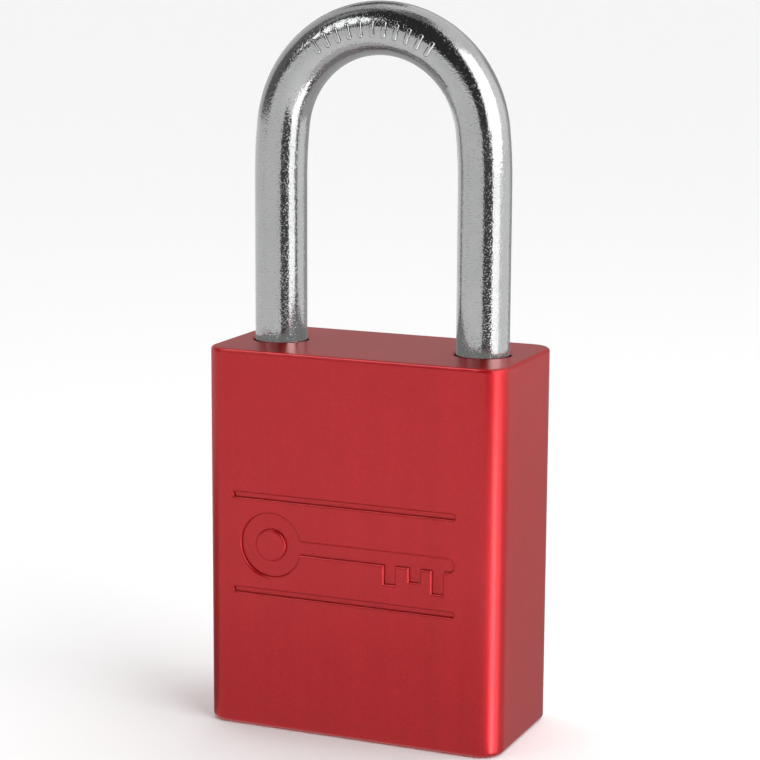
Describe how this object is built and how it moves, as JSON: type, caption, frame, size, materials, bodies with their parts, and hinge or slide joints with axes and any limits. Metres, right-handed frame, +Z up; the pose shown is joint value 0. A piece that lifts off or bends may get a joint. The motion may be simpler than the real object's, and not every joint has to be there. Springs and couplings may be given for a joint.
{
  "type": "keyed padlock",
  "caption": "Rectangular solid-bodied padlock with a tall round steel shackle, ball locking and a keyed pin-tumbler cylinder in its base.",
  "frame": {"origin": "centre of the body block's bottom face, which is the centre of the bounding box's bottom", "axes": "+Z up along the shackle legs, +X towards the toe leg (the leg that leaves its hole), -Y out of the front face with the emblem"},
  "size_m": [0.0382, 0.019, 0.0876],
  "materials": {
    "anodised_red": "satin red anodised over a fine blasted grain",
    "plated_steel": "bright plating with faint mottling",
    "nickel_brass": "satin nickel over brass, fine turning marks",
    "pin_brass": "turned brass",
    "pin_nickel": "turned nickel silver",
    "spring_steel": "drawn wire",
    "ball_steel": "polished hardened steel",
    "sintered_steel": "matt sintered steel",
    "screw_steel": "black oxide"
  },
  "bodies": {
    "lock_body": {"body_block": "anodised_red", "cylinder_shell": "nickel_brass", "chamber_cover": "pin_brass", "cylinder_screw": "screw_steel", "shackle_spring": "spring_steel", "pin_spring_1": "spring_steel", "pin_spring_2": "spring_steel", "pin_spring_3": "spring_steel", "pin_spring_4": "spring_steel", "pin_spring_5": "spring_steel"},
    "shackle": {"shackle": "plated_steel"},
    "plug": {"key_plug": "nickel_brass", "plug_clip": "spring_steel"},
    "actuator": {"actuator": "sintered_steel"},
    "toe_ball": {"toe_ball": "ball_steel"},
    "heel_ball": {"heel_ball": "ball_steel"},
    "key_pin_1": {"key_pin_1": "pin_brass"},
    "key_pin_2": {"key_pin_2": "pin_brass"},
    "key_pin_3": {"key_pin_3": "pin_brass"},
    "key_pin_4": {"key_pin_4": "pin_brass"},
    "key_pin_5": {"key_pin_5": "pin_brass"},
    "driver_pin_1": {"driver_pin_1": "pin_nickel"},
    "driver_pin_2": {"driver_pin_2": "pin_nickel"},
    "driver_pin_3": {"driver_pin_3": "pin_nickel"},
    "driver_pin_4": {"driver_pin_4": "pin_nickel"},
    "driver_pin_5": {"driver_pin_5": "pin_nickel"}
  },
  "joints": [
    {"name": "shackle_lift", "type": "slide", "parent": "lock_body", "child": "shackle", "axis": [0, 0, 1], "range_m": [0, 0.0134], "deforming": ["shackle_spring"]},
    {"name": "plug_turn", "type": "hinge", "parent": "lock_body", "child": "plug", "pos_m": [0, 0, 0.0126], "axis": [0, 0, 1], "range_deg": [0, 90]},
    {"name": "actuator_turn", "type": "hinge", "parent": "lock_body", "child": "actuator", "pos_m": [0, 0, 0.034], "axis": [0, 0, 1], "range_deg": [0, 90]},
    {"name": "toe_ball_slide", "type": "slide", "parent": "lock_body", "child": "toe_ball", "axis": [1, 0, 0], "range_m": [0, 0.0014]},
    {"name": "heel_ball_slide", "type": "slide", "parent": "lock_body", "child": "heel_ball", "axis": [-1, 0, 0], "range_m": [0, 0.0007]},
    {"name": "key_pin_1_slide", "type": "slide", "parent": "plug", "child": "key_pin_1", "axis": [0, 1, 0], "range_m": [0, 0.00143]},
    {"name": "key_pin_2_slide", "type": "slide", "parent": "plug", "child": "key_pin_2", "axis": [0, 1, 0], "range_m": [0, 0.00053]},
    {"name": "key_pin_3_slide", "type": "slide", "parent": "plug", "child": "key_pin_3", "axis": [0, 1, 0], "range_m": [0, 0.00173]},
    {"name": "key_pin_4_slide", "type": "slide", "parent": "plug", "child": "key_pin_4", "axis": [0, 1, 0], "range_m": [0, 0.00003]},
    {"name": "key_pin_5_slide", "type": "slide", "parent": "plug", "child": "key_pin_5", "axis": [0, 1, 0], "range_m": [0, 0.00103]},
    {"name": "driver_pin_1_slide", "type": "slide", "parent": "lock_body", "child": "driver_pin_1", "axis": [1, 0, 0], "range_m": [0, 0.0018], "stiffness_N_per_m": 50, "springref_m": -0.004, "deforming": ["pin_spring_1"]},
    {"name": "driver_pin_2_slide", "type": "slide", "parent": "lock_body", "child": "driver_pin_2", "axis": [1, 0, 0], "range_m": [0, 0.0018], "stiffness_N_per_m": 50, "springref_m": -0.004, "deforming": ["pin_spring_2"]},
    {"name": "driver_pin_3_slide", "type": "slide", "parent": "lock_body", "child": "driver_pin_3", "axis": [1, 0, 0], "range_m": [0, 0.0018], "stiffness_N_per_m": 50, "springref_m": -0.004, "deforming": ["pin_spring_3"]},
    {"name": "driver_pin_4_slide", "type": "slide", "parent": "lock_body", "child": "driver_pin_4", "axis": [1, 0, 0], "range_m": [0, 0.0018], "stiffness_N_per_m": 50, "springref_m": -0.004, "deforming": ["pin_spring_4"]},
    {"name": "driver_pin_5_slide", "type": "slide", "parent": "lock_body", "child": "driver_pin_5", "axis": [1, 0, 0], "range_m": [0, 0.0018], "stiffness_N_per_m": 50, "springref_m": -0.004, "deforming": ["pin_spring_5"]}
  ],
  "couplings": [
    {"joint": "actuator_turn", "follows": "plug_turn", "ratio": 1},
    {"joint": "toe_ball_slide", "follows": "plug_turn", "m_per_rad": 0.00089127},
    {"joint": "heel_ball_slide", "follows": "plug_turn", "m_per_rad": 0.00044563}
  ]
}
